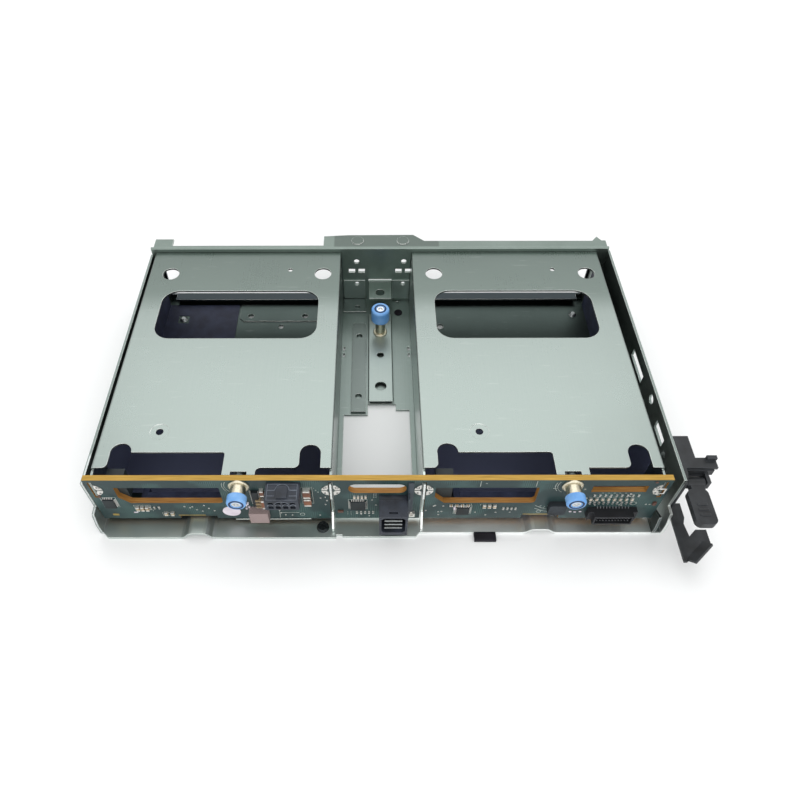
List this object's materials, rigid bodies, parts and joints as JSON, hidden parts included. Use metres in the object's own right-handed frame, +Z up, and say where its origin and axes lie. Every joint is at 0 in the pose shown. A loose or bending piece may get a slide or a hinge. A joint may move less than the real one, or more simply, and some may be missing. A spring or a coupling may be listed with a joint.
{
  "type": "two-bay drive cage with backplane board",
  "caption": "Flat sheet-steel drive cage with side-by-side bays, a backplane board across its front, captive screws, and a side latch.",
  "frame": {"origin": "on the tray's underside, below the bare face of the backplane board, midway between the two bays", "axes": "+X to the right seen from the board side, +Y towards the end the drives go in, +Z up"},
  "size_m": [0.2842, 0.1964, 0.0414],
  "materials": {
    "tray_sheet": "zinc-plated sheet, satin",
    "rear_sheet": "zinc-plated sheet, satin",
    "cover_sheet": "zinc-plated sheet with a fine rolled grain",
    "bracket_sheet": "zinc-plated sheet, satin",
    "board_laminate": "green solder mask over glass laminate",
    "connector_black": "moulded, fine matt",
    "guard_black": "moulded, satin",
    "guide_grey": "moulded, matt",
    "contact_metal": "tin and gold plated contacts",
    "header_ivory": "moulded high-temperature resin",
    "coil_beige": "moulded powder core",
    "coil_dark": "moulded powder core, dark",
    "chip_black": "moulded epoxy",
    "capacitor_tan": "moulded case with tinned ends",
    "ceramic_tan": "fired ceramic with tinned ends",
    "resistor_black": "glazed chip with tinned ends",
    "label_white": "paper disc",
    "pad_tin": "tinned copper",
    "ferrule_nickel": "nickel plate",
    "screw_steel": "zinc-plated steel",
    "spring_steel": "spring wire",
    "knob_blue": "moulded knob, satin",
    "ring_navy": "printed ring",
    "latch_black": "moulded, satin",
    "pin_steel": "ground pin",
    "bumper_black": "soft moulded block",
    "film_navy": "thin insulating film, matt",
    "rivet_steel": "plated steel",
    "screw_black": "blackened steel"
  },
  "bodies": {
    "cage": {"tray": "tray_sheet", "rear_panel": "rear_sheet", "left_bay_cover": "cover_sheet", "right_bay_cover": "cover_sheet", "channel_bracket": "bracket_sheet", "channel_rail": "bracket_sheet", "channel_patch": "bracket_sheet", "light_plates": "bracket_sheet", "backplane_board": "board_laminate", "left_drive_connector": "connector_black", "right_drive_connector": "connector_black", "guide_sockets": "guide_grey", "power_connector": "connector_black", "power_pins": "contact_metal", "cable_connector": "connector_black", "connector_blades": "contact_metal", "connector_guard": "guard_black", "board_clip": "contact_metal", "pin_connector": "header_ivory", "connector_pins": "contact_metal", "square_coil": "coil_beige", "round_choke": "coil_dark", "logic_chips": "chip_black", "tantalum_capacitors": "capacitor_tan", "chip_capacitors": "ceramic_tan", "chip_resistors": "resistor_black", "round_label": "label_white", "ground_pads": "pad_tin", "latch_bracket": "latch_black", "latch_pin": "pin_steel", "edge_bumper": "bumper_black", "left_bay_film": "film_navy", "right_bay_film": "film_navy", "floor_plug": "bumper_black", "rivets": "rivet_steel", "floor_screw": "screw_black", "lug_nuts": "rivet_steel", "left_screw_ferrule": "ferrule_nickel", "left_screw_spring": "spring_steel", "right_screw_ferrule": "ferrule_nickel", "right_screw_spring": "spring_steel", "centre_screw_ferrule": "ferrule_nickel", "centre_screw_spring": "spring_steel"},
    "left_bushing": {"left_screw_bushing": "rivet_steel"},
    "left_knob": {"left_screw": "screw_steel", "left_screw_knob": "knob_blue", "left_knob_ring": "ring_navy"},
    "right_bushing": {"right_screw_bushing": "rivet_steel"},
    "right_knob": {"right_screw": "screw_steel", "right_screw_knob": "knob_blue", "right_knob_ring": "ring_navy"},
    "centre_bushing": {"centre_screw_bushing": "rivet_steel"},
    "centre_knob": {"centre_screw": "screw_steel", "centre_screw_knob": "knob_blue", "centre_knob_ring": "ring_navy"},
    "lever": {"latch_lever": "latch_black"}
  },
  "joints": [
    {"name": "left_screw_slide", "type": "slide", "parent": "cage", "child": "left_bushing", "axis": [0, -1, 0], "range_m": [0, 0.003]},
    {"name": "left_screw_spin", "type": "hinge", "parent": "left_bushing", "child": "left_knob", "pos_m": [-0.0619, 0, 0.0336], "axis": [0, -1, 0], "continuous": true},
    {"name": "right_screw_slide", "type": "slide", "parent": "cage", "child": "right_bushing", "axis": [0, -1, 0], "range_m": [0, 0.003]},
    {"name": "right_screw_spin", "type": "hinge", "parent": "right_bushing", "child": "right_knob", "pos_m": [0.0869, 0, 0.0336], "axis": [0, -1, 0], "continuous": true},
    {"name": "centre_screw_slide", "type": "slide", "parent": "cage", "child": "centre_bushing", "axis": [0, 0, 1], "range_m": [0, 0.0045], "deforming": ["centre_screw_spring"]},
    {"name": "centre_screw_spin", "type": "hinge", "parent": "centre_bushing", "child": "centre_knob", "pos_m": [0.0023, 0.1244, 0.0037], "axis": [0, 0, 1], "continuous": true},
    {"name": "latch_lever_lift", "type": "hinge", "parent": "cage", "child": "lever", "pos_m": [0.141, 0.0022, 0.0323], "axis": [-1, 0, 0], "range_deg": [0, 65]}
  ]
}
